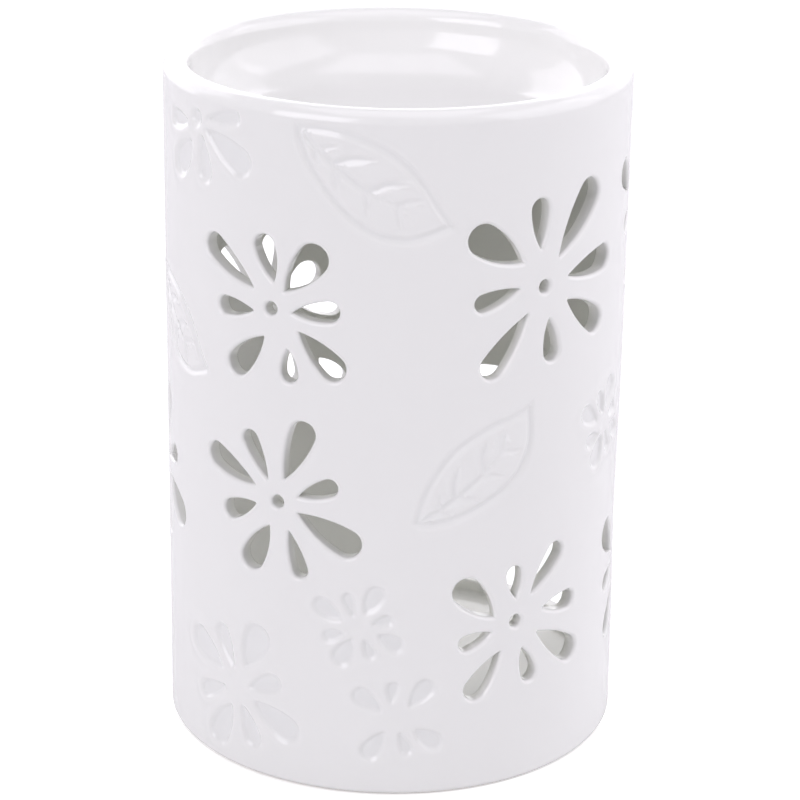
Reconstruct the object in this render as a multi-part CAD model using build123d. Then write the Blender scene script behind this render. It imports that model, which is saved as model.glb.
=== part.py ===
from build123d import *
from math import acos, asin, atan2, cos, degrees, hypot, pi, radians, sin, sqrt
import os

os.makedirs("parts", exist_ok=True)

# A glazed ceramic oil burner: a pierced round wall, a dish on top, a floor inside,
# an arched door at the back and a tealight that stands on the floor.
# The origin is the middle of the foot, +Z is up and the viewer stands at -Y.

# Burner, all in millimetres
burner_diameter = 80.0
burner_height = 120.0
wall_thickness = 2.8
foot_round = 1.2
overrun = 2.0

# Dish on top
rim_width = 4.7
dish_depth = 15.5
dish_corner_radius = 10.0
dish_thickness = 3.0
seat_depth = 7.0
seat_width = 0.8

# Floor inside
floor_thickness = 3.5
floor_recess = 1.5

# Door at the back, an arch over straight sides
door_turn_degrees = 148.4
door_width = 44.0
door_lip = 2.5
door_rise = 45.5
door_corner_radius = 3.0

# Pressed and pierced ornament
flower_reach = 15.0
bud_reach = 8.0
centre_hole_diameter = 2.7
press_depth = 0.5
leaf_groove = 0.6
leaf_vein_turn_degrees = 40.0

# Tealight
running_gap = 0.3
cup_diameter = 38.0
cup_height = 13.0
cup_metal = 0.4
cup_bead = 0.5
cup_corner_radius = 1.5
wax_below_bead = 1.6
wick_diameter = 1.8
wick_above_wax = 7.0
tab_diameter = 14.0
tab_metal = 0.4
tab_neck_diameter = 3.2
tab_neck_height = 3.0

# Sizes that follow from those above
burner_radius = burner_diameter / 2
chamber_radius = burner_radius - wall_thickness
around = pi * burner_diameter
floor_top = floor_recess + floor_thickness
mouth_radius = burner_radius - rim_width
seat_height = burner_height - seat_depth

# The rim is a half round across its width. The seam between wall and dish meets it near its crest.
rim_round = rim_width / 2
rim_middle = burner_radius - rim_round
rim_start = burner_height - rim_round
seam_radius = chamber_radius + seat_width
seam_angle = degrees(acos((seam_radius - rim_middle) / rim_round))
seam_top = rim_start + rim_round * sin(radians(seam_angle))

# Where the tealight's middle stands on the floor, as shares of the chamber's radius
tealight_place_shares = (-0.22, -0.14)

# Petals of each flower, from the tip beside the middle to the round outer end.
# Each row: tip across, tip up, end across, end up, width, as shares of the reach.
flower_a_shares = (
    (-0.23, 0.19, -0.96, 0.63, 0.33),
    (0.04, 0.30, -0.13, 0.83, 0.29),
    (0.17, 0.21, 0.63, 0.77, 0.39),
    (0.26, -0.01, 0.83, 0.07, 0.27),
    (0.34, -0.21, 0.86, -0.70, 0.33),
    (0.21, -0.43, 0.24, -0.83, 0.23),
    (-0.09, -0.33, -0.57, -0.83, 0.33),
    (-0.23, -0.07, -0.77, -0.10, 0.24),
)
flower_b_shares = (
    (-0.29, 0.31, -0.95, 0.73, 0.40),
    (-0.07, 0.43, -0.09, 1.02, 0.27),
    (0.20, 0.30, 0.81, 1.07, 0.40),
    (0.35, 0.05, 1.18, 0.13, 0.32),
    (0.35, -0.22, 1.01, -0.67, 0.33),
    (0.08, -0.37, 0.15, -0.90, 0.26),
    (-0.22, -0.27, -0.75, -0.95, 0.32),
    (-0.33, 0.03, -0.89, -0.12, 0.24),
)
flower_c_shares = (
    (-0.30, 0.13, -1.05, 0.40, 0.32),
    (-0.13, 0.23, -0.43, 0.77, 0.24),
    (0.08, 0.27, 0.37, 1.00, 0.33),
    (0.25, 0.10, 0.73, 0.30, 0.24),
    (0.25, -0.09, 0.99, -0.47, 0.37),
    (0.14, -0.32, 0.31, -0.88, 0.22),
    (-0.11, -0.30, -0.43, -0.89, 0.33),
    (-0.29, -0.08, -0.78, -0.30, 0.26),
)
flower_d_shares = (
    (-0.27, 0.09, -0.75, 0.59, 0.37),
    (0.00, 0.27, -0.04, 0.69, 0.23),
    (0.21, 0.29, 0.65, 0.81, 0.27),
    (0.38, 0.06, 0.93, 0.05, 0.25),
    (0.31, -0.21, 0.98, -0.68, 0.33),
    (0.10, -0.35, 0.25, -0.81, 0.24),
    (-0.19, -0.33, -0.59, -0.88, 0.30),
    (-0.31, -0.08, -0.72, -0.21, 0.22),
)
flower_e_shares = (
    (0.01, 0.33, 0.03, 1.03, 0.31),
    (0.30, 0.30, 0.95, 0.97, 0.33),
    (0.38, -0.07, 1.04, -0.20, 0.25),
    (0.05, -0.30, 0.17, -0.93, 0.22),
    (-0.21, -0.40, -0.31, -1.03, 0.27),
    (-0.70, -0.72, -1.02, -1.12, 0.30),
    (-0.43, -0.01, -1.01, -0.08, 0.27),
    (-0.20, 0.07, -0.65, 0.53, 0.40),
)
pressed_flower_shares = (
    (-0.23, 0.17, -0.80, 0.43, 0.33),
    (-0.03, 0.23, -0.25, 0.70, 0.20),
    (0.17, 0.30, 0.40, 0.85, 0.35),
    (0.23, 0.05, 0.65, 0.23, 0.23),
    (0.30, -0.12, 0.87, -0.43, 0.33),
    (0.12, -0.23, 0.32, -0.68, 0.22),
    (-0.07, -0.27, -0.37, -0.82, 0.33),
    (-0.18, -0.07, -0.63, -0.27, 0.20),
)
rim_flower_shares = (
    (0.20, -0.11, 0.87, -0.43, 0.33),
    (0.09, -0.20, 0.17, -0.70, 0.23),
    (-0.13, -0.30, -0.50, -0.70, 0.33),
    (0.23, 0.03, 0.73, 0.13, 0.17),
    (-0.20, -0.10, -0.63, -0.13, 0.20),
)
eight_bud_shares = (
    (-0.41, 0.19, -0.98, 0.56, 0.40),
    (-0.14, 0.31, -0.29, 0.79, 0.25),
    (0.11, 0.38, 0.43, 0.96, 0.40),
    (0.28, 0.13, 0.69, 0.25, 0.23),
    (0.40, -0.13, 0.90, -0.44, 0.38),
    (0.11, -0.25, 0.28, -0.66, 0.25),
    (-0.16, -0.25, -0.48, -0.85, 0.43),
    (-0.35, -0.13, -0.79, -0.25, 0.28),
)
six_bud_shares = (
    (-0.31, 0.13, -0.90, 0.56, 0.41),
    (-0.10, 0.34, -0.06, 0.79, 0.25),
    (0.29, 0.23, 0.75, 0.79, 0.41),
    (0.41, -0.34, 0.98, -0.75, 0.41),
    (0.09, -0.41, 0.29, -0.90, 0.25),
    (-0.25, -0.40, -0.66, -1.00, 0.41),
)

# Middles of the pierced flowers: share of the way round from the front, share of the height
pierced_place_shares = (
    (flower_a_shares, -0.085, 0.713),
    (flower_b_shares, 0.105, 0.742),
    (flower_c_shares, -0.080, 0.433),
    (flower_d_shares, 0.089, 0.252),
    (flower_c_shares, -0.238, 0.398),
    (flower_a_shares, 0.255, 0.788),
    (flower_d_shares, 0.235, 0.258),
    (flower_e_shares, -0.396, 0.533),
    (flower_a_shares, 0.472, 0.771),
    (flower_c_shares, -0.300, 0.760),
)

# Middles of the pressed flowers and buds, the same way
pressed_place_shares = (
    (pressed_flower_shares, -0.117, 0.129),
    (rim_flower_shares, -0.153, 0.954),
    (pressed_flower_shares, -0.390, 0.200),
)
bud_place_shares = (
    (eight_bud_shares, -0.021, 0.258),
    (six_bud_shares, 0.004, 0.125),
    (eight_bud_shares, 0.179, 0.500),
    (six_bud_shares, 0.325, 0.560),
    (six_bud_shares, -0.300, 0.130),
    (eight_bud_shares, 0.385, 0.640),
)

# The one pressed flower with a round middle
pressed_hole_shares = (-0.153, 0.954)

# Leaves: base round, base up, tip round, tip up
leaf_place_shares = (
    (-0.064, 0.971, 0.035, 0.843),
    (0.017, 0.419, 0.095, 0.571),
    (-0.227, 0.700, -0.145, 0.596),
    (0.330, 0.800, 0.395, 0.900),
    (-0.435, 0.930, -0.395, 0.790),
)

# Every leaf, from its middle and as shares of its length: how far its edges bow out above and
# below, three points of its sagging rib, and the side veins' starts and runs above and below
leaf_upper_share = 0.17
leaf_lower_share = 0.25
leaf_rib_shares = ((-0.50, 0.0), (-0.08, -0.068), (0.25, -0.048))
leaf_vein_shares = (
    (-0.25, -0.06, 0.24, 0.18),
    (-0.02, -0.06, 0.22, 0.18),
    (0.20, -0.05, 0.14, 0.10),
)


def arc(centre, radius, start, end):
    """An arc round a centre, from one angle in degrees to another."""
    return CenterArc(centre, radius, start, end - start)


def turned(lines):
    """The solid that a closed outline in radius and height sweeps round the axis."""
    return revolve(Plane.XZ * make_face(lines), Axis.Z)


def dish_curve(thickness):
    """The dish's corner arc and floor arc, both moved outwards by a thickness.

    Gives each arc's centre and radius, and the angle at which they meet.
    """
    drop = dish_depth - rim_round
    corner_out = mouth_radius - dish_corner_radius
    spread = corner_out**2 + drop**2 - dish_corner_radius**2
    floor_radius = spread / (2 * (drop - dish_corner_radius))
    corner_centre = (corner_out, rim_start)
    floor_centre = (0, burner_height - dish_depth + floor_radius)
    slope = degrees(atan2(rim_start - floor_centre[1], corner_out))
    corner = (corner_centre, dish_corner_radius + thickness)
    floor = (floor_centre, floor_radius + thickness)
    return corner, floor, slope


def make_dish():
    """The dish: the inner part of the rounded rim, a deep corner, a dished floor and a seat."""
    corner_in, floor_in, slope = dish_curve(0)
    corner_under, floor_under, _ = dish_curve(dish_thickness)
    corner_centre, corner_radius = corner_under
    reach = chamber_radius - corner_centre[0]
    leave_drop = sqrt(corner_radius**2 - reach**2)
    leave_angle = -degrees(atan2(leave_drop, reach))
    floor_middle = burner_height - dish_depth
    lines = [
        arc((rim_middle, rim_start), rim_round, seam_angle, 180),
        arc(*corner_in, 0, slope),
        arc(*floor_in, slope, -90),
        Line((0, floor_middle), (0, floor_middle - dish_thickness)),
        arc(*floor_under, -90, slope),
        arc(*corner_under, slope, leave_angle),
        Line((chamber_radius, rim_start - leave_drop), (chamber_radius, seat_height)),
        Line((chamber_radius, seat_height), (seam_radius, seat_height)),
        Line((seam_radius, seat_height), (seam_radius, seam_top)),
    ]
    return turned(lines)


def make_plain_sleeve():
    """The round wall before it is pierced: foot, wall, seat for the dish, outer part of the rim."""
    lines = [
        Line((chamber_radius, 0), (burner_radius - foot_round, 0)),
        arc((burner_radius - foot_round, foot_round), foot_round, -90, 0),
        Line((burner_radius, foot_round), (burner_radius, rim_start)),
        arc((rim_middle, rim_start), rim_round, 0, seam_angle),
        Line((seam_radius, seam_top), (seam_radius, seat_height)),
        Line((seam_radius, seat_height), (chamber_radius, seat_height)),
        Line((chamber_radius, seat_height), (chamber_radius, 0)),
    ]
    return turned(lines)


def wall_plane(along, up, lean=0.0):
    """The plane that touches the wall's outside at a place, its X turned by lean from level."""
    turn = along / burner_radius - pi / 2
    out = Vector(cos(turn), sin(turn), 0)
    level = Vector(-sin(turn), cos(turn), 0)
    point = out * burner_radius + Vector(0, 0, up)
    return Plane(origin=point, x_dir=level * cos(lean) + Vector(0, 0, 1) * sin(lean), z_dir=out)


def through_wall(plane, face):
    """A face on a wall plane, drawn out both ways far enough to pass through the wall."""
    depth = 2 * wall_thickness + overrun
    return extrude(plane * face, depth, both=True)


def petal_face(length, width):
    """A teardrop: a point at one end, sides that bow out, a round far end."""
    half = width / 2
    shoulder = length - half
    side_radius = (shoulder**2 + half**2) / (2 * half)
    sweep = degrees(asin(shoulder / side_radius))
    top = arc((shoulder, half - side_radius), side_radius, 90 + sweep, 90)
    end = arc((shoulder, 0), half, 90, -90)
    bottom = arc((shoulder, side_radius - half), side_radius, -90, -90 - sweep)
    return Pos(-length / 2, 0) * make_face([top, end, bottom])


def petals(place, reach):
    """The cutters of one flower's petals, at its place on the wall."""
    table, round_share, up_share = place
    cutters = []
    for tip_across, tip_up, end_across, end_up, width in table:
        across = (end_across - tip_across) * reach
        up = (end_up - tip_up) * reach
        middle_across = around * round_share + (tip_across + end_across) / 2 * reach
        middle_up = burner_height * up_share + (tip_up + end_up) / 2 * reach
        plane = wall_plane(middle_across, middle_up, atan2(up, across))
        cutters.append(through_wall(plane, petal_face(hypot(across, up), width * reach)))
    return cutters


def centre_hole(round_share, up_share):
    """The cutter of one flower's round middle."""
    plane = wall_plane(around * round_share, burner_height * up_share)
    return through_wall(plane, Circle(centre_hole_diameter / 2))


def leaf_face(length, above, below):
    """A pointed leaf between two bows, given by its length and how far they bow out."""
    points = [(-length / 2, 0), (length / 2, 0)]
    upper = ThreePointArc(points[0], (0, above), points[1])
    lower = ThreePointArc(points[1], (0, -below), points[0])
    return make_face([upper, lower])


def leaf_veins(length):
    """Side veins that leave a leaf's rib on both sides and stop short of its edge."""
    veins = []
    for x_share, y_share, above_share, below_share in leaf_vein_shares:
        start = Pos(x_share * length, y_share * length)
        for run_share, side in ((above_share, 1), (below_share, -1)):
            vein = Rectangle(run_share * length, leaf_groove, align=(Align.MIN, Align.CENTER))
            veins.append(start * Rot(0, 0, side * leaf_vein_turn_degrees) * vein)
    return veins


def leaf(place):
    """The cutter of one leaf: a groove round its edge, one down its middle and side veins."""
    base_round, base_up, tip_round, tip_up = place
    across = (tip_round - base_round) * around
    up = (tip_up - base_up) * burner_height
    length = hypot(across, up)
    above = leaf_upper_share * length
    below = leaf_lower_share * length
    point_groove = leaf_groove * length / (above + below)
    inner_face = leaf_face(length - 2 * point_groove, above - leaf_groove, below - leaf_groove)
    edge = leaf_face(length, above, below) - inner_face
    rib_points = [(x_share * length, y_share * length) for x_share, y_share in leaf_rib_shares]
    rib = trace(ThreePointArc(*rib_points), leaf_groove)
    middle_across = (base_round + tip_round) / 2 * around
    middle_up = (base_up + tip_up) / 2 * burner_height
    plane = wall_plane(middle_across, middle_up, atan2(up, across))
    return through_wall(plane, edge + [rib, *leaf_veins(length)])


def door_cutter():
    """The arch of the door, from its lip up, drawn out through the wall."""
    half = door_width / 2
    spring = door_rise - half
    corner = half - door_corner_radius
    outline = [
        Line((-corner, 0), (corner, 0)),
        arc((corner, door_corner_radius), door_corner_radius, -90, 0),
        Line((half, door_corner_radius), (half, spring)),
        arc((0, spring), half, 0, 180),
        Line((-half, spring), (-half, door_corner_radius)),
        arc((-corner, door_corner_radius), door_corner_radius, -180, -90),
    ]
    along = door_turn_degrees / 360 * around
    plane = wall_plane(along, floor_top + door_lip)
    return extrude(plane * make_face(outline), chamber_radius, both=True)


def make_sleeve():
    """The round wall with its door, pierced flowers, pressed flowers, buds and leaves."""
    pierced = [door_cutter()]
    for place in pierced_place_shares:
        _, round_share, up_share = place
        pierced += petals(place, flower_reach) + [centre_hole(round_share, up_share)]
    pressed = [centre_hole(*pressed_hole_shares)]
    for place in pressed_place_shares:
        pressed += petals(place, flower_reach)
    for place in bud_place_shares:
        pressed += petals(place, bud_reach)
    for place in leaf_place_shares:
        pressed.append(leaf(place))
    core = Cylinder(burner_radius - press_depth, 2 * burner_height)
    return make_plain_sleeve() - (pierced + [cutter - core for cutter in pressed])


def make_floor():
    """The floor disc, set up from the foot inside the wall."""
    disc = Cylinder(chamber_radius, floor_thickness, align=(Align.CENTER, Align.CENTER, Align.MIN))
    return Pos(0, 0, floor_recess) * disc


def make_tealight():
    """The tealight's cup, wax, wick and wick tab, at their place on the floor."""
    cup_radius = cup_diameter / 2
    wax_radius = cup_radius - cup_metal
    inner_corner = cup_corner_radius - cup_metal
    bead_height = cup_height - cup_bead
    wax_top = cup_height - wax_below_bead
    cup = turned(
        [
            Line((0, 0), (cup_radius - cup_corner_radius, 0)),
            arc((cup_radius - cup_corner_radius, cup_corner_radius), cup_corner_radius, -90, 0),
            Line((cup_radius, cup_corner_radius), (cup_radius, bead_height)),
            arc((wax_radius, bead_height), cup_metal, 0, 180),
            Line((wax_radius - cup_metal, bead_height), (wax_radius - cup_metal, bead_height - cup_bead)),
            Line((wax_radius - cup_metal, bead_height - cup_bead), (wax_radius, bead_height - cup_bead)),
            Line((wax_radius, bead_height - cup_bead), (wax_radius, cup_corner_radius)),
            arc((cup_radius - cup_corner_radius, cup_corner_radius), inner_corner, 0, -90),
            Line((cup_radius - cup_corner_radius, cup_metal), (0, cup_metal)),
            Line((0, cup_metal), (0, 0)),
        ]
    )
    tab_radius = tab_diameter / 2
    neck_radius = tab_neck_diameter / 2
    wick_radius = wick_diameter / 2
    tab_top = cup_metal + tab_metal
    neck_top = tab_top + tab_neck_height
    tab = turned(
        [
            Line((wick_radius, cup_metal), (tab_radius, cup_metal)),
            Line((tab_radius, cup_metal), (tab_radius, tab_top)),
            Line((tab_radius, tab_top), (neck_radius, tab_top)),
            Line((neck_radius, tab_top), (neck_radius, neck_top)),
            Line((neck_radius, neck_top), (wick_radius, neck_top)),
            Line((wick_radius, neck_top), (wick_radius, cup_metal)),
        ]
    )
    wick_top = wax_top + wick_above_wax
    wick = turned(
        [
            Line((0, cup_metal), (wick_radius, cup_metal)),
            Line((wick_radius, cup_metal), (wick_radius, wick_top)),
            Line((wick_radius, wick_top), (0, wick_top)),
            Line((0, wick_top), (0, cup_metal)),
        ]
    )
    wax = turned(
        [
            Line((tab_radius, cup_metal), (cup_radius - cup_corner_radius, cup_metal)),
            arc((cup_radius - cup_corner_radius, cup_corner_radius), inner_corner, -90, 0),
            Line((wax_radius, cup_corner_radius), (wax_radius, wax_top)),
            Line((wax_radius, wax_top), (wick_radius, wax_top)),
            Line((wick_radius, wax_top), (wick_radius, neck_top)),
            Line((wick_radius, neck_top), (neck_radius, neck_top)),
            Line((neck_radius, neck_top), (neck_radius, tab_top)),
            Line((neck_radius, tab_top), (tab_radius, tab_top)),
            Line((tab_radius, tab_top), (tab_radius, cup_metal)),
        ]
    )
    across, along = (share * chamber_radius for share in tealight_place_shares)
    stand = Pos(across, along, floor_top + running_gap)
    return {
        "tealight_cup": stand * cup,
        "tealight_wax": stand * wax,
        "tealight_wick": stand * wick,
        "wick_tab": stand * tab,
    }


pieces = {
    "pierced_sleeve": make_sleeve(),
    "oil_dish": make_dish(),
    "floor_disc": make_floor(),
    **make_tealight(),
}
for name, piece in pieces.items():
    export_step(piece, f"parts/{name}.step")
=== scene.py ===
"""A white ceramic oil burner with pierced and pressed flowers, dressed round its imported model."""

import math

import bmesh
import bpy
import numpy as np
from bpy.props import FloatProperty, FloatVectorProperty, IntProperty, PointerProperty
from mathutils import Matrix, Vector
from mathutils.geometry import delaunay_2d_cdt


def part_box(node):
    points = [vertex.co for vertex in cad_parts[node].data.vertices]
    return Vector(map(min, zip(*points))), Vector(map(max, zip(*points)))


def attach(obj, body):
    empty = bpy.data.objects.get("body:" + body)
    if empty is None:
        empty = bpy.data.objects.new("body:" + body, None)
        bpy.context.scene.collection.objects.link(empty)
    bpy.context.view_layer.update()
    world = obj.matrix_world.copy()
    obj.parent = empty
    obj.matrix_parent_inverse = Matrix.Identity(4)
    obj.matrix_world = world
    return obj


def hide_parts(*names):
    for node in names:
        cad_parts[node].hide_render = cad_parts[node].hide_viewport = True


bl_info = {
    "name": "Pierced oil burner",
    "version": (1, 0, 0),
    "blender": (4, 5, 0),
    "location": "View3D > Sidebar > Burner",
    "description": "Models a white ceramic oil burner, its tealight and a plain studio",
    "category": "Add Mesh",
}

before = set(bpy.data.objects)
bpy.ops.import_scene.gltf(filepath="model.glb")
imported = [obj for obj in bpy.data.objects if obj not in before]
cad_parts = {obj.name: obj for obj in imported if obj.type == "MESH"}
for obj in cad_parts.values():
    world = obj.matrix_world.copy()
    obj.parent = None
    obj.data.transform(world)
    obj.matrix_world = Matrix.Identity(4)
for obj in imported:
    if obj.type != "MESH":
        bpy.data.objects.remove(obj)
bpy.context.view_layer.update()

MM = 0.001
UP = Vector((0, 0, 1))
quarter = math.pi / 2

# Vertices round each turned piece, and the one where the wall's flat sheets are joined, counted from
# the front
TURN_STEPS = 192
CUT_STEP = -90

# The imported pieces' own boxes give the radii and the height
_, wall_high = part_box("pierced_sleeve")
burner_radius = wall_high.x
_, dish_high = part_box("oil_dish")
burner_height = dish_high.z
floor_low, floor_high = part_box("floor_disc")
chamber_radius = floor_high.x
around = 2 * math.pi * burner_radius
sheet_start = CUT_STEP * around / TURN_STEPS

# Petals of each flower, from the tip beside the middle to the round outer end.
# Each row: tip across, tip up, end across, end up, width, as shares of the reach.
FLOWER_A_SHARES = (
    (-0.23, 0.19, -0.96, 0.63, 0.33),
    (0.04, 0.30, -0.13, 0.83, 0.29),
    (0.17, 0.21, 0.63, 0.77, 0.39),
    (0.26, -0.01, 0.83, 0.07, 0.27),
    (0.34, -0.21, 0.86, -0.70, 0.33),
    (0.21, -0.43, 0.24, -0.83, 0.23),
    (-0.09, -0.33, -0.57, -0.83, 0.33),
    (-0.23, -0.07, -0.77, -0.10, 0.24),
)
FLOWER_B_SHARES = (
    (-0.29, 0.31, -0.95, 0.73, 0.40),
    (-0.07, 0.43, -0.09, 1.02, 0.27),
    (0.20, 0.30, 0.81, 1.07, 0.40),
    (0.35, 0.05, 1.18, 0.13, 0.32),
    (0.35, -0.22, 1.01, -0.67, 0.33),
    (0.08, -0.37, 0.15, -0.90, 0.26),
    (-0.22, -0.27, -0.75, -0.95, 0.32),
    (-0.33, 0.03, -0.89, -0.12, 0.24),
)
FLOWER_C_SHARES = (
    (-0.30, 0.13, -1.05, 0.40, 0.32),
    (-0.13, 0.23, -0.43, 0.77, 0.24),
    (0.08, 0.27, 0.37, 1.00, 0.33),
    (0.25, 0.10, 0.73, 0.30, 0.24),
    (0.25, -0.09, 0.99, -0.47, 0.37),
    (0.14, -0.32, 0.31, -0.88, 0.22),
    (-0.11, -0.30, -0.43, -0.89, 0.33),
    (-0.29, -0.08, -0.78, -0.30, 0.26),
)
FLOWER_D_SHARES = (
    (-0.27, 0.09, -0.75, 0.59, 0.37),
    (0.00, 0.27, -0.04, 0.69, 0.23),
    (0.21, 0.29, 0.65, 0.81, 0.27),
    (0.38, 0.06, 0.93, 0.05, 0.25),
    (0.31, -0.21, 0.98, -0.68, 0.33),
    (0.10, -0.35, 0.25, -0.81, 0.24),
    (-0.19, -0.33, -0.59, -0.88, 0.30),
    (-0.31, -0.08, -0.72, -0.21, 0.22),
)
FLOWER_E_SHARES = (
    (0.01, 0.33, 0.03, 1.03, 0.31),
    (0.30, 0.30, 0.95, 0.97, 0.33),
    (0.38, -0.07, 1.04, -0.20, 0.25),
    (0.05, -0.30, 0.17, -0.93, 0.22),
    (-0.21, -0.40, -0.31, -1.03, 0.27),
    (-0.70, -0.72, -1.02, -1.12, 0.30),
    (-0.43, -0.01, -1.01, -0.08, 0.27),
    (-0.20, 0.07, -0.65, 0.53, 0.40),
)
PRESSED_FLOWER_SHARES = (
    (-0.23, 0.17, -0.80, 0.43, 0.33),
    (-0.03, 0.23, -0.25, 0.70, 0.20),
    (0.17, 0.30, 0.40, 0.85, 0.35),
    (0.23, 0.05, 0.65, 0.23, 0.23),
    (0.30, -0.12, 0.87, -0.43, 0.33),
    (0.12, -0.23, 0.32, -0.68, 0.22),
    (-0.07, -0.27, -0.37, -0.82, 0.33),
    (-0.18, -0.07, -0.63, -0.27, 0.20),
)
RIM_FLOWER_SHARES = (
    (0.20, -0.11, 0.87, -0.43, 0.33),
    (0.09, -0.20, 0.17, -0.70, 0.23),
    (-0.13, -0.30, -0.50, -0.70, 0.33),
    (0.23, 0.03, 0.73, 0.13, 0.17),
    (-0.20, -0.10, -0.63, -0.13, 0.20),
)
EIGHT_BUD_SHARES = (
    (-0.41, 0.19, -0.98, 0.56, 0.40),
    (-0.14, 0.31, -0.29, 0.79, 0.25),
    (0.11, 0.38, 0.43, 0.96, 0.40),
    (0.28, 0.13, 0.69, 0.25, 0.23),
    (0.40, -0.13, 0.90, -0.44, 0.38),
    (0.11, -0.25, 0.28, -0.66, 0.25),
    (-0.16, -0.25, -0.48, -0.85, 0.43),
    (-0.35, -0.13, -0.79, -0.25, 0.28),
)
SIX_BUD_SHARES = (
    (-0.31, 0.13, -0.90, 0.56, 0.41),
    (-0.10, 0.34, -0.06, 0.79, 0.25),
    (0.29, 0.23, 0.75, 0.79, 0.41),
    (0.41, -0.34, 0.98, -0.75, 0.41),
    (0.09, -0.41, 0.29, -0.90, 0.25),
    (-0.25, -0.40, -0.66, -1.00, 0.41),
)

# Middles of the flowers and buds: share of the way round from the front, share of the height
PIERCED_PLACE_SHARES = (
    (FLOWER_A_SHARES, -0.085, 0.713),
    (FLOWER_B_SHARES, 0.105, 0.742),
    (FLOWER_C_SHARES, -0.080, 0.433),
    (FLOWER_D_SHARES, 0.089, 0.252),
    (FLOWER_C_SHARES, -0.238, 0.398),
    (FLOWER_A_SHARES, 0.255, 0.788),
    (FLOWER_D_SHARES, 0.235, 0.258),
    (FLOWER_E_SHARES, -0.396, 0.533),
    (FLOWER_A_SHARES, 0.472, 0.771),
    (FLOWER_C_SHARES, -0.300, 0.760),
)
PRESSED_PLACE_SHARES = (
    (PRESSED_FLOWER_SHARES, -0.117, 0.129),
    (RIM_FLOWER_SHARES, -0.153, 0.954),
    (PRESSED_FLOWER_SHARES, -0.390, 0.200),
)
BUD_PLACE_SHARES = (
    (EIGHT_BUD_SHARES, -0.021, 0.258),
    (SIX_BUD_SHARES, 0.004, 0.125),
    (EIGHT_BUD_SHARES, 0.179, 0.500),
    (SIX_BUD_SHARES, 0.325, 0.560),
    (SIX_BUD_SHARES, -0.300, 0.130),
    (EIGHT_BUD_SHARES, 0.385, 0.640),
)
PRESSED_DOT_SHARES = ((-0.153, 0.954),)

# Leaves: base round, base up, tip round, tip up
LEAF_PLACE_SHARES = (
    (-0.064, 0.971, 0.035, 0.843),
    (0.017, 0.419, 0.095, 0.571),
    (-0.227, 0.700, -0.145, 0.596),
    (0.330, 0.800, 0.395, 0.900),
    (-0.435, 0.930, -0.395, 0.790),
)

# Lines of one leaf as shares of its length, each with its depth as a share of the groove's and
# whether it fades out at its far end
LEAF_UPPER_EDGE_SHARES = (
    (0.00, 0.000), (0.12, 0.080), (0.27, 0.142), (0.44, 0.175),
    (0.60, 0.165), (0.76, 0.115), (0.88, 0.050), (1.00, 0.000),
)
LEAF_LOWER_EDGE_SHARES = (
    (0.00, 0.000), (0.05, -0.060), (0.18, -0.145), (0.36, -0.215),
    (0.54, -0.252), (0.70, -0.242), (0.86, -0.165), (1.00, 0.000),
)
LEAF_RIB_SHARES = (
    (0.00, 0.000), (0.14, -0.035), (0.28, -0.055), (0.42, -0.068),
    (0.56, -0.070), (0.68, -0.058), (0.75, -0.048),
)
LEAF_LINE_SHARES = (
    (0.80, False, LEAF_UPPER_EDGE_SHARES),
    (1.00, False, LEAF_LOWER_EDGE_SHARES),
    (0.90, True, LEAF_RIB_SHARES),
    (0.70, True, ((0.15, -0.035), (0.19, 0.005), (0.23, 0.045))),
    (1.00, True, ((0.27, -0.050), (0.34, 0.030), (0.45, 0.105))),
    (1.00, True, ((0.52, -0.065), (0.58, 0.020), (0.67, 0.080))),
    (0.60, True, ((0.68, -0.055), (0.75, 0.020), (0.80, 0.050))),
    (0.50, True, ((0.14, -0.035), (0.17, -0.080), (0.20, -0.120))),
    (0.50, True, ((0.28, -0.055), (0.34, -0.130), (0.39, -0.190))),
    (0.50, True, ((0.49, -0.070), (0.54, -0.130), (0.58, -0.190))),
    (0.50, True, ((0.69, -0.058), (0.73, -0.110), (0.77, -0.150))),
)

# Slow waves in the wall: waves round it, waves up it, phase, share of the unevenness
WAVE_SHARES = ((2, 0.5, 0.4, 0.35), (3, -1.0, 2.1, 0.30), (5, 1.5, 4.0, 0.20), (7, -2.5, 1.3, 0.15))

# A shallow waist on the right: share round, share up, wide share, tall share, depth in unevennesses
WAIST_SHARES = (0.245, 0.33, 0.07, 0.14, 5.0)

# The photograph's camera: place in millimetres, turns in degrees to the right, down and round, lens
CAMERA_PLACE = (0.0, -465.7, 228.7)
CAMERA_TURNS = (0.13, 20.19, 0.80)
CAMERA_LENS = 125.9
CAMERA_SENSOR = 36.0

# Light panels: place and size in burner heights, power in watts
PANELS = {
    "front_left_panel": ((-6.67, -7.50, 5.00), (7.50, 6.67), 7.8),
    "front_low_panel": ((0.00, -8.33, 1.67), (8.33, 3.00), 0.4),
    "right_panel": ((5.42, -0.83, 2.92), (6.67, 6.67), 3.1),
    "back_left_panel": ((-5.83, 5.83, 3.75), (8.33, 8.33), 5.0),
    "back_right_panel": ((5.83, 5.83, 3.75), (8.33, 8.33), 3.0),
    "back_panel": ((0.00, 8.33, 3.75), (8.33, 8.33), 3.2),
    "top_panel": ((0.00, -0.42, 3.75), (2.50, 2.50), 0.42),
}
PANEL_TINT = (0.967, 0.936, 1.0)

# The studio floor's size in metres, its white and its glow, and the world's light
STUDIO_SIZE = 6.0
STUDIO_WHITE = (0.92, 0.92, 0.92)
STUDIO_GLOW = 0.4
WORLD_TINT = (0.97, 0.97, 1.0)
WORLD_STRENGTH = 0.2

# Mesh steps along a petal's side and round its tip and its end, and round a dot
PIERCED_STEPS = (11, 5, 14)
PRESSED_STEPS = (10, 5, 10)
BUD_STEPS = (7, 4, 8)
PIERCED_DOT_STEPS = 24
PRESSED_DOT_STEPS = 16

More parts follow.
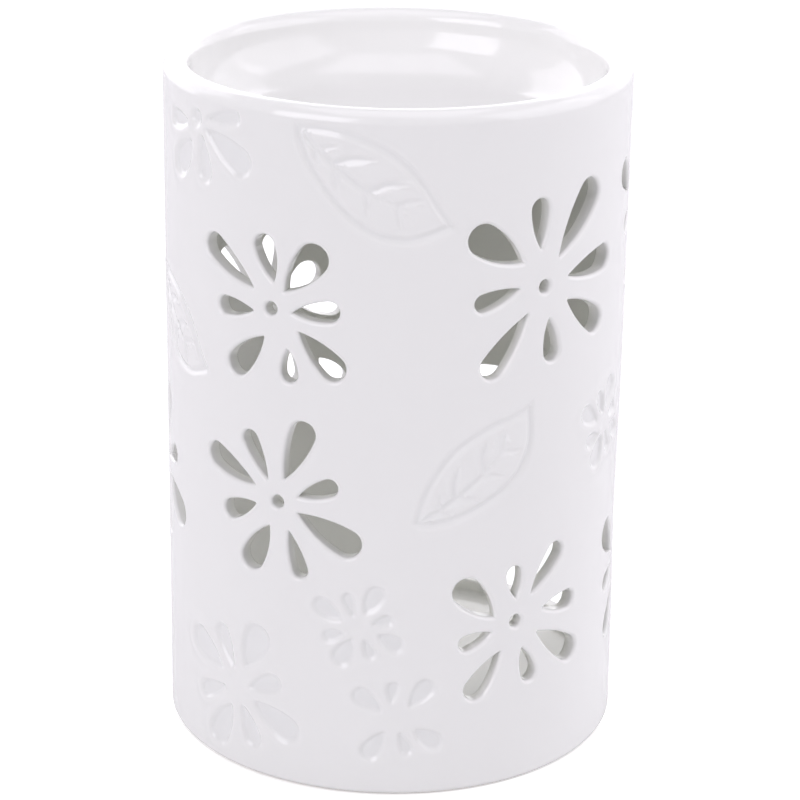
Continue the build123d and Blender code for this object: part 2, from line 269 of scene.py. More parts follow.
# Mesh points: beside a pressed edge as shares of its slope, inside it as shares of the way to the
# petal's spine, and beside a leaf's line as shares of the groove's width
PRESSED_RING_SHARES = (1.5, 1.0, 0.7, 0.4, 0.1, -0.2)
PRESSED_INNER_SHARES = (0.25, 0.5, 0.75, 1.0)
GROOVE_RIBBON_SHARES = (0, 0.5, -0.5, 1, -1, 1.6, -1.6, 2.4, -2.4)

# The inside's spacing as a share of the outside's, and a dot's largest lip as a share of its radius
INNER_SPACING_SHARE = 1.3
DOT_LIP_SHARE = 0.8

# Where a leaf's line starts to fade and over how much of it, as shares of the line
FADE_START_SHARE = 0.55
FADE_LONG_SHARE = 0.45

# Gaps between mesh points: least in the ornament, along a leaf's lines, and so small that they join.
# SAME_PLACE is in millimetres.
POINT_GAP = 0.25 * MM
LEAF_GAP = 0.8 * MM
WELD_GAP = 0.001 * MM
SAME_PLACE = 1e-5

# Turn along the rim between the seam and the next ring
SEAM_STEP = math.radians(1)


def length(name, millimetres, description):
    """A size that a user may change, with its default in millimetres."""
    return FloatProperty(
        name=name, default=millimetres * MM, min=0.0, unit="LENGTH", precision=5, description=description
    )


def colour(name, default, description):
    """A colour that a user may change."""
    return FloatVectorProperty(
        name=name, default=default, size=3, min=0.0, max=1.0, subtype="COLOR", description=description
    )


class BurnerWallSizes(bpy.types.PropertyGroup):
    """Sizes of the pierced wall."""

    flower_reach: length("Flower reach", 15.0, "From a flower's middle to the ends of its petals")
    bud_reach: length("Bud reach", 8.0, "From a bud's middle to the ends of its petals")
    centre_hole: length("Centre hole", 2.7, "Across the round hole in a flower's middle")
    door_width: length("Door width", 44.0, "Across the arched door")
    door_rise: length("Door rise", 45.5, "From the door's lip to the top of its arch")
    door_lip: length("Door lip", 2.5, "From the floor inside up to the door")
    door_corner: length("Door corner", 3.0, "Round of the door's lower corners")
    door_turn: FloatProperty(
        name="Door turn",
        default=math.radians(148.4),
        subtype="ANGLE",
        description="The door's place, from the front",
    )
    outer_lip: length("Outer lip", 0.7, "Round of a hole's outer edge, soft with glaze")
    inner_lip: length("Inner lip", 0.5, "Round of a hole's inner edge")
    glaze_build: length("Glaze build", 0.25, "How far the glaze narrows a hole")
    tip_round: length("Tip round", 0.3, "Round of a petal's tip")
    press_depth: length("Press depth", 0.5, "How deep the pressed petals lie")
    press_slope: length("Press slope", 1.0, "Width of a pressed petal's soft edge")
    bank_height: length("Bank height", 0.06, "Height of the soft bank beside a pressed edge")
    groove_depth: length("Groove depth", 0.38, "How deep a leaf's lines lie")
    groove_width: length("Groove width", 0.6, "Half the width of a leaf's lines")
    unevenness: length("Unevenness", 0.07, "How far the wall wanders from a true round")
    foot_round: length("Foot round", 1.2, "Round of the foot's outer edge")
    spacing: length("Spacing", 2.1, "Between the mesh points where nothing is cut or pressed")


class BurnerDishSizes(bpy.types.PropertyGroup):
    """Sizes of the dish and the floor."""

    rim_width: length("Rim width", 4.7, "Across the rounded rim")
    dish_depth: length("Dish depth", 15.5, "From the rim's crest to the dish's middle")
    corner_radius: length("Corner radius", 10.0, "Round between the dish's side and its floor")
    thickness: length("Thickness", 3.0, "Thickness of the dish")
    seat_depth: length("Seat depth", 7.0, "From the rim's crest down to the seat in the wall")
    seat_width: length("Seat width", 0.8, "How far the dish reaches over the wall")
    floor_fillet: length("Floor fillet", 0.9, "Glaze gathered where the floor meets the wall")


class TealightSizes(bpy.types.PropertyGroup):
    """Sizes of the tealight."""

    metal: length("Metal", 0.4, "Thickness of the cup")
    corner: length("Corner", 1.5, "Round at the cup's foot")
    ring_height: length("Ring height", 0.15, "Height of the ring pressed into the cup's bottom")
    flute_depth: length("Flute depth", 0.1, "Depth of the cup's fine upright flutes")
    flutes: IntProperty(name="Flutes", default=48, min=0, description="Upright flutes round the cup")
    wax_climb: length("Wax climb", 0.35, "How far the wax climbs the cup and the wick")
    strands: IntProperty(name="Strands", default=3, min=2, description="Strands twisted into the wick")
    twist_pitch: length("Twist pitch", 5.0, "Height of one full twist of the wick")


class BurnerColours(bpy.types.PropertyGroup):
    """Colours of the finishes."""

    glaze: colour("Glaze", (0.860, 0.862, 0.845), "White glaze outside and in the dish")
    # Painted light: the chamber's white is warmer and brighter than outside. It stands in for warm bounce
    # light there, on a thinner glaze.
    chamber_glaze_and_bounce_light: colour("Glaze inside", (0.930, 0.938, 0.885), "Thinner, warmer glaze in the chamber")
    # Partly painted shade: the pressed ornament turns darker, both for the glaze gathered there and for the
    # shade in its hollows.
    pooled_glaze_and_shade: colour("Glaze pool", (0.820, 0.826, 0.815), "Glaze gathered in the pressed ornament")
    bare_clay: colour("Bare clay", (0.700, 0.660, 0.600), "Unglazed clay under the foot")
    cup: colour("Cup", (0.790, 0.790, 0.800), "Drawn aluminium")
    wax: colour("Wax", (0.850, 0.820, 0.740), "White candle wax")
    wick: colour("Wick", (0.760, 0.730, 0.650), "Waxed cotton")
    tab: colour("Tab", (0.600, 0.600, 0.610), "Tinned steel")


def smooth_step(values):
    """Rises from 0 to 1 with level ends, over values from 0 to 1."""
    clipped = np.clip(values, 0.0, 1.0)
    return clipped * clipped * (3.0 - 2.0 * clipped)


def bell(values):
    """A soft hump, 1 at zero and almost nothing from 2 on."""
    return np.exp(-values * values)


def unit(vectors):
    """Vectors of length 1."""
    return vectors / np.linalg.norm(vectors, axis=-1, keepdims=True)


def radial(along):
    """Ways out of the wall at places along it."""
    turn = along / burner_radius - quarter
    return np.stack([np.cos(turn), np.sin(turn), np.zeros_like(turn)], axis=-1)


def level(along):
    """Ways along the wall at places along it."""
    turn = along / burner_radius - quarter
    return np.stack([-np.sin(turn), np.cos(turn), np.zeros_like(turn)], axis=-1)


def on_wall(places, radius):
    """Points in space, from places along and up the wall and a radius."""
    points = radial(places[:, 0]) * np.reshape(radius, (-1, 1))
    points[:, 2] = places[:, 1]
    return points


def ring_places(height):
    """Places of one turned ring, from the line where the flat sheets are joined."""
    along = (np.arange(TURN_STEPS) + CUT_STEP) * around / TURN_STEPS
    return np.column_stack([along, np.full(TURN_STEPS, height)])


def arc_at(centre, radius, turns):
    """Points on an arc at turns in radians."""
    return np.column_stack([centre[0] + radius * np.cos(turns), centre[1] + radius * np.sin(turns)])


def arc(centre, radius, first, last, steps):
    """Points along an arc, from one turn in radians to another."""
    return arc_at(centre, radius, np.linspace(first, last, steps + 1))


def eased_line(points, spacing):
    """Points along a smooth line through given points."""
    points = np.array(points)
    before = np.vstack([2 * points[:1] - points[1:2], points[:-1]])
    after = np.vstack([points[1:], 2 * points[-1:] - points[-2:-1]])
    pull = (after - before) / 2
    parts = []
    for i in range(len(points) - 1):
        run = points[i + 1] - points[i]
        steps = max(2, round(math.hypot(*run) / spacing))
        t = (np.arange(steps) / steps)[:, None]
        s = smooth_step(t)
        lead = t * (1 - t) ** 2 * pull[i]
        trail = -t * t * (1 - t) * pull[i + 1]
        parts.append(points[i] * (1 - s) + points[i + 1] * s + lead + trail)
    return np.vstack(parts + [points[-1:]])


def cell_of(place, gap):
    """The square, a gap wide, that a place lies in."""
    return int(place[0] // gap), int(place[1] // gap)


def close_by(place, cells, gap):
    """True where a place lies closer than a gap to one that the squares hold."""
    column, row = cell_of(place, gap)
    near = ((column + i, row + j) for i in (-1, 0, 1) for j in (-1, 0, 1))
    return any(math.dist(place, other) < gap for cell in near for other in cells.get(cell, ()))


def far_from(places, others, gap):
    """True for the places that lie a gap away from all the others."""
    cells = {}
    for other in others:
        cells.setdefault(cell_of(other, gap), []).append(other)
    return np.array([not close_by(place, cells, gap) for place in places], bool)


def thinned(places, gap):
    """The places without those that lie closer than a gap to one before them."""
    cells = {}
    kept = []
    for place in places:
        if not close_by(place, cells, gap):
            cells.setdefault(cell_of(place, gap), []).append(place)
            kept.append(place)
    return np.array(kept)


def clear_of(places, motifs, offset, radius):
    """The places outside all the outlines moved out by an offset."""
    for motif in motifs:
        places = places[~motif.holds(places, offset, radius)]
    return places


class Motif:
    """A rounded outline on the wall, drawn on the plane that touches the wall at its middle.

    The outline is a core whose every point has a way out, moved out by a round.
    """

    def __init__(self, middle, lean, core, outward, round_size):
        self.middle = middle
        self.lean = np.array([[math.cos(lean), math.sin(lean)], [-math.sin(lean), math.cos(lean)]])
        self.core = core
        self.round_size = round_size
        self.outward = outward
        turned = outward @ self.lean
        self.out = level(np.full(len(core), middle[0])) * turned[:, :1]
        self.out[:, 2] = turned[:, 1]

    def places(self, flat, radius):
        """Places on the wall of points of the drawing, for a cut square to its plane."""
        turned = flat @ self.lean
        along = self.middle[0] + burner_radius * np.arcsin(turned[:, 0] / radius)
        return np.column_stack([along, self.middle[1] + turned[:, 1]])

    def flat(self, places):
        """Points of the drawing, from places on the wall's outside."""
        across = burner_radius * np.sin((places[:, 0] - self.middle[0]) / burner_radius)
        return np.column_stack([across, places[:, 1] - self.middle[1]]) @ self.lean.T

    def ring(self, offset, radius):
        """Places of the outline moved out by an offset."""
        return self.places(self.core + self.outward * (self.round_size + offset), radius)

    def near(self, places, offset, radius):
        """True for the places in the box round the outline moved out by an offset."""
        ring = self.ring(offset, radius)
        return np.all((places > ring.min(0)) & (places < ring.max(0)), axis=1)

    def holds(self, places, offset, radius):
        """True for the places inside the outline moved out by an offset."""
        ring = self.ring(offset, radius)
        inside = self.near(places, offset, radius)
        sides = np.roll(ring, -1, axis=0) - ring
        across = places[inside][:, None, :] - ring[None, :, :]
        turns = sides[None, :, 0] * across[:, :, 1] - sides[None, :, 1] * across[:, :, 0]
        inside[inside] = np.all(turns > 0, axis=1)
        return inside


def outline(parts):
    """Core points and ways out of a motif, from its arcs and straights.

    Each part: centre at its start, centre at its end, radius, first turn, last turn, steps.
    """
    core = []
    outward = []
    for start, stop, radius, first, last, steps in parts:
        share = np.arange(steps)[:, None] / steps
        turns = first + (last - first) * share
        ways = np.hstack([np.cos(turns), np.sin(turns)])
        core.append(np.array(start) * (1 - share) + np.array(stop) * share + ways * radius)
        outward.append(ways)
    return np.vstack(core), np.vstack(outward)


class Petal(Motif):
    """A teardrop: a rounded tip, sides that bow out and a round far end."""

    def __init__(self, middle, along_petal, width, tip_round, steps):
        side, fan, end = steps
        long = math.hypot(*along_petal) - 2 * tip_round
        self.half = width / 2 - tip_round
        self.shoulder = long / 2 - self.half
        self.tip = -long / 2
        rise = self.shoulder - self.tip
        self.side_radius = (rise**2 + self.half**2) / (2 * self.half)
        self.drop = self.side_radius - self.half
        sweep = math.asin(rise / self.side_radius)
        top = math.pi / 2
        above, below = (self.shoulder, -self.drop), (self.shoulder, self.drop)
        tip_middle, end_middle = (self.tip, 0), (self.shoulder, 0)
        parts = (
            (above, above, self.side_radius, top, top + sweep, side),
            (tip_middle, tip_middle, 0, top + sweep, 3 * top - sweep, fan),
            (below, below, self.side_radius, 3 * top - sweep, 3 * top, side),
            (end_middle, end_middle, self.half, 3 * top, 5 * top, end),
        )
        lean = math.atan2(along_petal[1], along_petal[0])
        super().__init__(middle, lean, *outline(parts), tip_round)

    def distance(self, places):
        """How far places lie outside the outline, or inside it where negative."""
        flat = self.flat(places)
        across = np.abs(flat[:, 1])
        ahead = flat[:, 0] - self.shoulder
        end = np.hypot(ahead, across) - self.half
        side = np.hypot(ahead, across + self.drop) - self.side_radius
        past_tip = -ahead * self.drop > (across + self.drop) * (self.shoulder - self.tip)
        tip = np.hypot(flat[:, 0] - self.tip, across)
        return np.where(ahead > 0, end, np.where(past_tip, tip, side)) - self.round_size

    def inner_places(self, share):
        """Places of the core drawn in towards the petal's spine by a share."""
        spine = self.core.copy()
        spine[:, 0] = np.minimum(spine[:, 0], self.shoulder)
        spine[:, 1] = 0
        return self.places(self.core * (1 - share) + spine * share, burner_radius)


class Dot(Motif):
    """A circle."""

    def __init__(self, middle, radius, steps):
        super().__init__(middle, 0, *outline((((0, 0), (0, 0), 0, 0, 2 * math.pi, steps),)), radius)

    def distance(self, places):
        """How far places lie outside the circle, or inside it where negative."""
        return np.hypot(*self.flat(places).T) - self.round_size

    def inner_places(self, share):
        """Places of a smaller circle."""
        return self.ring(-self.round_size * share, burner_radius)


def door_motif(sizes):
    """The arched door: a level lip, round lower corners, straight sides and a half-round top."""
    corner = sizes.door_corner
    half = sizes.door_width / 2 - corner
    spring = sizes.door_rise - sizes.door_width / 2
    sill = floor_high.z + sizes.door_lip
    left_top, left_foot = (-half, spring), (-half, corner)
    right_foot, right_top = (half, corner), (half, spring)
    core, outward = outline(
        (
            ((0, spring), (0, spring), half, 0, 2 * quarter, 44),
            (left_top, left_foot, 0, 2 * quarter, 2 * quarter, 15),
            (left_foot, left_foot, 0, 2 * quarter, 3 * quarter, 6),
            (left_foot, right_foot, 0, 3 * quarter, 3 * quarter, 27),
            (right_foot, right_foot, 0, 3 * quarter, 4 * quarter, 6),
            (right_foot, right_top, 0, 4 * quarter, 4 * quarter, 15),
        )
    )
    return Motif((in_sheet(sizes.door_turn * burner_radius), sill), 0, core, outward, corner)


def in_sheet(along):
    """The same place along the wall, on the flat sheet."""
    return (along - sheet_start) % around + sheet_start


def flower(place, reach, tip_round, steps):
    """The petals of one flower or bud."""
    table, round_share, up_share = place
    petals = []
    for tip_across, tip_up, end_across, end_up, width_share in table:
        along = in_sheet(around * round_share + (tip_across + end_across) / 2 * reach)
        up = burner_height * up_share + (tip_up + end_up) / 2 * reach
        along_petal = ((end_across - tip_across) * reach, (end_up - tip_up) * reach)
        petals.append(Petal((along, up), along_petal, width_share * reach, tip_round, steps))
    return petals


def dot(place, width, steps):
    """The round middle of one flower."""
    round_share, up_share = place[-2:]
    return Dot((in_sheet(around * round_share), burner_height * up_share), width / 2, steps)


class LeafLine:
    """One drawn line of a leaf on the wall."""

    def __init__(self, leaf, line, spacing):
        base_round, base_up, tip_round, tip_up = leaf
        depth_share, fades, shares = line
        base = np.array([in_sheet(base_round * around), base_up * burner_height])
        run = np.array([(tip_round - base_round) * around, (tip_up - base_up) * burner_height])
        side = np.array([-run[1], run[0]])
        line_points = eased_line(shares, spacing / math.hypot(*run))
        self.points = np.array([base + run * x + side * y for x, y in line_points])
        way = np.linspace(0, 1, len(self.points))
        faded = smooth_step((way - FADE_START_SHARE) / FADE_LONG_SHARE) if fades else 0 * way
        self.strength = depth_share * (1 - faded)

    def nearest(self, places):
        """How far places lie from the line, and its strength at the nearest point."""
        start = self.points[:-1]
        run = self.points[1:] - start
        offset = places[:, None, :] - start[None, :, :]
        share = np.clip((offset * run).sum(2) / (run * run).sum(1), 0, 1)
        gap = np.linalg.norm(offset - share[:, :, None] * run, axis=2)
        best = gap.argmin(1)
        rows = np.arange(len(places))
        part = share[rows, best]
        return gap[rows, best], self.strength[best] * (1 - part) + self.strength[best + 1] * part

    def ribbon(self, offsets):
        """Places on both sides of the line."""
        way = unit(np.gradient(self.points, axis=0))
        side = np.column_stack([-way[:, 1], way[:, 0]])
        return np.vstack([self.points + side * offset for offset in offsets])


class Relief:
    """How deep the wall's outside lies below a true round, at any place."""

    def __init__(self, sizes, pressed, leaves, rim_start):
        self.sizes = sizes
        self.pressed = pressed
        self.leaves = leaves
        self.rim_start = rim_start

    def unevenness(self, places):
        """The slow wandering of a wall that was finished by hand, none at the foot and the rim."""
        turn = places[:, 0] / burner_radius
        rise = 2 * math.pi * places[:, 1] / burner_height
        wave = np.zeros(len(places))
        for turns, waves_up, phase, share in WAVE_SHARES:
            wave += share * np.sin(turns * turn + waves_up * rise + phase)
        round_share, up_share, wide_share, tall_share, depth_share = WAIST_SHARES
        across = np.remainder(places[:, 0] / around - round_share + 0.5, 1) - 0.5
        up = places[:, 1] / burner_height - up_share
        waist = depth_share * bell(np.hypot(across / wide_share, up / tall_share))
        fade = self.sizes.flower_reach
        window = smooth_step(places[:, 1] / fade) * smooth_step((self.rim_start - places[:, 1]) / fade)
        return self.sizes.unevenness * window * (0.5 + 0.5 * wave + waist)

    def ornament(self, places):
        """The pressed petals and the leaves' lines, with their soft banks."""
        sizes = self.sizes
        depth = np.zeros(len(places))
        reach = 3 * sizes.press_slope
        least_strength = 0.3
        bank_away = 2.2 * sizes.groove_width
        for motif in self.pressed:
            near = motif.near(places, reach, burner_radius)
            gap = motif.distance(places[near])
            sunk = sizes.press_depth * smooth_step(0.5 - gap / sizes.press_slope)
            bank = sizes.bank_height * bell((gap - sizes.press_slope) * 2 / sizes.press_slope)
            depth[near] += sunk - bank
        for lines in self.leaves:
            drawn = np.vstack([line.points for line in lines])
            near = np.all((places > drawn.min(0) - reach) & (places < drawn.max(0) + reach), axis=1)
            closest = np.full(near.sum(), reach)
            deepest = np.zeros(near.sum())
            for line in lines:
                gap, strength = line.nearest(places[near])
                closest = np.minimum(closest, gap / np.maximum(strength, least_strength))
                deepest = np.maximum(deepest, strength * bell(gap / sizes.groove_width))
            bank = bell((closest - bank_away) / sizes.groove_width)
            depth[near] += sizes.groove_depth * deepest - sizes.bank_height * bank
        return depth

    def depth(self, places):
        """Everything together."""
        return self.unevenness(places) + self.ornament(places)

    def normals(self, places, field):
        """Ways out of the wall's outside, from how one of the depths above changes along and up it."""
        step = 0.02 * MM
        aside = np.array([step, 0.0])
        above = np.array([0.0, step])
        slope_along = (field(places + aside) - field(places - aside)) / (2 * step)
        slope_up = (field(places + above) - field(places - above)) / (2 * step)
        out = radial(places[:, 0]) + level(places[:, 0]) * slope_along[:, None]
        out[:, 2] += slope_up
        return unit(out)


class Shell:
    """A closed mesh in the making: its vertices, its faces and a normal at each corner of each face."""

    def __init__(self):
        self.points = []
        self.recess = []
        self.inside = []
        self.faces = []
        self.normals = []

    def add(self, points, recess=0.0, inside=0.0):
        """Adds points and gives their numbers."""
        first = len(self.points)
        self.points.extend(map(tuple, points))
        self.recess.extend(np.broadcast_to(recess, len(points)))
        self.inside.extend(np.broadcast_to(inside, len(points)))
        return np.arange(first, first + len(points))

    def band(self, outer, inner, outer_normals, inner_normals):
        """Joins two closed rings with quads.

        They face the side on which the outer ring runs anticlockwise.
        """
        for i in range(len(outer)):
            j = (i + 1) % len(outer)
            self.faces.append((outer[i], outer[j], inner[j], inner[i]))
            self.normals.extend((outer_normals[i], outer_normals[j], inner_normals[j], inner_normals[i]))

    def sheet(self, places, numbers, normals, border, holes, outwards):
        """Fills a flat sheet with triangles, but for its holes.

        The border and each hole hold the row numbers of places on a closed line.
        """
        edges = []
        hole_of = np.full(len(places), -1)
        for hole in holes:
            hole_of[hole] = hole[0]
        for line in [border, *holes]:
            edges += [(int(a), int(b)) for a, b in zip(line, np.roll(line, -1))]
        points = [Vector((float(x), float(y))) / MM for x, y in places]
        flat, _, triangles, origins, _, _ = delaunay_2d_cdt(points, edges, [], 0, SAME_PLACE)
        if any(not origin for origin in origins):
            raise RuntimeError("Two outlines on the wall cross each other.")
        for triangle in triangles:
            corners = [origins[i][0] for i in triangle]
            if hole_of[corners[0]] >= 0 and len({hole_of[i] for i in corners}) == 1:
                continue
            a, b, c = (flat[i] for i in triangle)
            if ((b - a).cross(c - a) > 0) != outwards:
                corners.reverse()
            self.faces.append(tuple(int(numbers[i]) for i in corners))
            self.normals.extend(normals[i] for i in corners)

    def build(self, name):
        """Makes the mesh object."""
        mesh = bpy.data.meshes.new(name)
        mesh.from_pydata(self.points, [], self.faces)
        for key, values in (("recess", self.recess), ("inside", self.inside)):
            attribute = mesh.attributes.new(key, "FLOAT", "POINT")
            attribute.data.foreach_set("value", np.array(values, np.float32))
        mesh.shade_smooth()
        mesh.normals_split_custom_set([tuple(normal) for normal in self.normals])
        piece = bpy.data.objects.new(name, mesh)
        bpy.context.scene.collection.objects.link(piece)
        return piece


def hexagon_grid(low, high, spacing):
    """Evenly spaced places over the flat sheet, between two heights."""
    rise = spacing * math.sqrt(3) / 2
    rows = []
    for row in range(1, int((high - low) / rise)):
        shift = spacing * (0.5 if row % 2 else 1.0)
        along = np.arange(sheet_start + shift, sheet_start + around - spacing / 3, spacing)
        rows.append(np.column_stack([along, np.full(len(along), low + row * rise)]))
    grid = np.vstack(rows)
    return grid[grid[:, 1] < high - spacing / 2]


def joined_sheet(shell, low, high, low_numbers, high_numbers, holes, free, look, spacing, outwards):
    """Fills the wall between two rings, as one flat sheet whose two upright sides are the same line."""
    heights = np.linspace(low, high, round((high - low) / spacing) + 1)[1:-1]
    side = np.column_stack([np.full(len(heights), sheet_start), heights])
    across = np.array([around, 0.0])
    points, _, recess = look(np.vstack([side, free]))
    inside = 0.0 if outwards else 1.0
    added = shell.add(points, recess, inside)
    side_numbers, free_numbers = added[: len(side)], added[len(side) :]
    places = [ring_places(low), ring_places(low)[:1] + across, side + across]
    places += [ring_places(high)[:1] + across, ring_places(high)[::-1], side[::-1]]
    numbers = [low_numbers, low_numbers[:1], side_numbers]
    numbers += [high_numbers[:1], high_numbers[::-1], side_numbers[::-1]]
    count = sum(len(part) for part in places)
    border = np.arange(count)
    hole_rows = []
    for hole_places, hole_numbers in holes:
        places.append(hole_places)
        numbers.append(hole_numbers)
        hole_rows.append(np.arange(count, count + len(hole_places)))
        count += len(hole_places)
    places = np.vstack(places + [free])
    numbers = np.concatenate(numbers + [free_numbers])
    _, normals, _ = look(places)
    shell.sheet(places, numbers, normals, border, hole_rows, outwards)


class Rim:
    """The rounded rim that the wall and the dish share, with the seam and the seat between them."""

    def __init__(self, sizes):
        self.radius = sizes.rim_width / 2
        self.start = burner_height - self.radius
        self.middle = (burner_radius - self.radius, self.start)
        self.seam_radius = chamber_radius + sizes.seat_width
        self.seam_turn = math.acos((self.seam_radius - self.middle[0]) / self.radius)
        self.seat_height = burner_height - sizes.seat_depth


def wall_motifs(sizes):
    """The wall's pierced outlines, its pressed outlines and its leaves' lines."""
    pierced = [door_motif(sizes)]
    for place in PIERCED_PLACE_SHARES:
        pierced += flower(place, sizes.flower_reach, sizes.tip_round, PIERCED_STEPS)
        pierced.append(dot(place, sizes.centre_hole, PIERCED_DOT_STEPS))
    pressed = []
    for place in PRESSED_PLACE_SHARES:
        pressed += flower(place, sizes.flower_reach, sizes.tip_round, PRESSED_STEPS)
    for place in BUD_PLACE_SHARES:
        pressed += flower(place, sizes.bud_reach, sizes.tip_round, BUD_STEPS)
    for place in PRESSED_DOT_SHARES:
        pressed.append(dot(place, sizes.centre_hole, PRESSED_DOT_STEPS))
    leaves = [[LeafLine(leaf, line, LEAF_GAP) for line in LEAF_LINE_SHARES] for leaf in LEAF_PLACE_SHARES]
    return pierced, pressed, leaves


def drawn_places(sizes, pressed, leaves, rim_start):
    """Mesh points that follow the pressed outlines and the leaves' lines."""
    rows = []
    for motif in pressed:
        for share in PRESSED_RING_SHARES:
            offset = max(share * sizes.press_slope, -motif.round_size)
            rows.append(motif.ring(offset, burner_radius))
        rows += [motif.inner_places(share) for share in PRESSED_INNER_SHARES]
    offsets = np.array(GROOVE_RIBBON_SHARES) * sizes.groove_width
    rows += [line.ribbon(offsets) for lines in leaves for line in lines]
    places = thinned(np.vstack(rows), POINT_GAP)
    low = np.array([sheet_start, sizes.foot_round]) + sizes.tip_round
    high = np.array([sheet_start + around, rim_start]) - sizes.tip_round
    return places[np.all((places > low) & (places < high), axis=1)]


def make_wall(sizes, dish):
    """The pierced wall as one closed mesh, with soft lips round its holes."""
    rim = Rim(dish)
    pierced, pressed, leaves = wall_motifs(sizes)
    relief = Relief(sizes, pressed, leaves, rim.start)

    def outer_look(places):
        """Points, normals and recess of the wall's outside."""
        ornament = relief.ornament(places)
        points = on_wall(places, burner_radius - relief.unevenness(places) - ornament)
        return points, relief.normals(places, relief.depth), np.clip(ornament / sizes.press_depth, 0, 1)

    def inner_look(places):
        """Points, normals and recess of the wall's inside."""
        return on_wall(places, chamber_radius), -radial(places[:, 0]), 0.0

    shell = Shell()
    outer_holes = []
    inner_holes = []
    for motif in pierced:
        outer_lip = sizes.outer_lip
        if isinstance(motif, Dot):
            outer_lip = min(outer_lip, motif.round_size * DOT_LIP_SHARE)
        rings = []
        for turn in np.linspace(0, quarter, 6):
            offset = outer_lip * (1 - math.sin(turn)) - sizes.glaze_build
            radius = burner_radius - outer_lip * (1 - math.cos(turn))
            places = motif.ring(offset, radius)
            base = relief.normals(places, relief.unevenness)
            normals = unit(base * math.cos(turn) - motif.out * math.sin(turn))
            numbers = shell.add(on_wall(places, radius - relief.unevenness(places)))
            rings.append((numbers, normals, places))
        for turn in np.linspace(quarter, 0, 5):
            offset = sizes.inner_lip * (1 - math.sin(turn)) - sizes.glaze_build
            radius = chamber_radius + sizes.inner_lip * (1 - math.cos(turn))
            places = motif.ring(offset, radius)
            normals = unit(-radial(places[:, 0]) * math.cos(turn) - motif.out * math.sin(turn))
            numbers = shell.add(on_wall(places, radius), 0.0, 1.0)
            rings.append((numbers, normals, places))
        for above, below in zip(rings, rings[1:]):
            shell.band(above[0], below[0], above[1], below[1])
        outer_holes.append((rings[0][2], rings[0][0]))
        inner_holes.append((rings[-1][2], rings[-1][0]))

    def rings_of(points, inside=0.0):
        """Turned rings at points in radius and height."""
        return [shell.add(on_wall(ring_places(height), radius), 0.0, inside) for radius, height in points]

    def normals_of(turn):
        """Normals round a turned ring, all leaning up by a turn."""
        normals = radial(ring_places(0)[:, 0]) * math.cos(turn)
        normals[:, 2] = math.sin(turn)
        return normals

    foot_turns = np.linspace(-quarter, 0, 6)
    foot_middle = (burner_radius - sizes.foot_round, sizes.foot_round)
    foot = rings_of(arc_at(foot_middle, sizes.foot_round, foot_turns))
    crest_turns = np.append(np.linspace(0, rim.seam_turn - SEAM_STEP, 12), rim.seam_turn)
    crest = rings_of(arc_at(rim.middle, rim.radius, crest_turns))
    seat_outside, seat_inside = (rim.seam_radius, rim.seat_height), (chamber_radius, rim.seat_height)
    seat, ledge, heel = rings_of([seat_outside, seat_inside, (chamber_radius, 0)], 1.0)
    for turns, rings in ((foot_turns, foot), (crest_turns, crest)):
        for i in range(len(rings) - 1):
            shell.band(rings[i], rings[i + 1], normals_of(turns[i]), normals_of(turns[i + 1]))
    flat_bands = ((crest[-1], seat, 2 * quarter), (seat, ledge, quarter), (heel, foot[0], -quarter))
    for outer, inner, turn in flat_bands:
        shell.band(outer, inner, normals_of(turn), normals_of(turn))

    clearance = sizes.outer_lip + POINT_GAP
    drawn = clear_of(drawn_places(sizes, pressed, leaves, rim.start), pierced, clearance, burner_radius)
    background = hexagon_grid(sizes.foot_round, rim.start, sizes.spacing)
    background = clear_of(background, pierced, clearance + sizes.spacing / 4, burner_radius)
    background = background[far_from(background, drawn, sizes.spacing / 2)]
    joined_sheet(
        shell, sizes.foot_round, rim.start, foot[-1], crest[0], outer_holes,
        np.vstack([drawn, background]), outer_look, sizes.spacing, True,
    )
    spacing = INNER_SPACING_SHARE * sizes.spacing
    background = hexagon_grid(0, rim.seat_height, spacing)
    background = clear_of(background, pierced, sizes.inner_lip + sizes.spacing / 2, chamber_radius)
    joined_sheet(
        shell, 0, rim.seat_height, heel, ledge, inner_holes, background, inner_look, spacing, False
    )
    return shell.build("wall")


def only(piece):
    """Selects one piece and nothing else."""
    bpy.ops.object.select_all(action="DESELECT")
    piece.select_set(True)
    bpy.context.view_layer.objects.active = piece


def spun(name, points, axis_place=(0.0, 0.0), steps=TURN_STEPS, smooth_degrees=35.0):
    """A turned piece: an outline in radius and height, spun round an upright axis and closed."""
    mesh = bpy.data.meshes.new(name)
    across, along = axis_place
    corners = [(across + radius, along, height) for radius, height in points]
    mesh.from_pydata(corners, [(i, i + 1) for i in range(len(corners) - 1)], [])
    piece = bpy.data.objects.new(name, mesh)
    bpy.context.scene.collection.objects.link(piece)
    only(piece)
    bpy.ops.object.mode_set(mode="EDIT")
    bpy.ops.mesh.select_all(action="SELECT")
    bpy.ops.mesh.spin(steps=steps, angle=2 * math.pi, center=(across, along, 0), axis=UP)
    bpy.ops.mesh.select_all(action="SELECT")
    bpy.ops.mesh.remove_doubles(threshold=WELD_GAP)
    bpy.ops.mesh.delete_loose()
    bpy.ops.mesh.select_all(action="SELECT")
    bpy.ops.mesh.normals_make_consistent(inside=False)
    bpy.ops.object.mode_set(mode="OBJECT")
    bpy.ops.object.shade_smooth_by_angle(angle=math.radians(smooth_degrees))
    return piece


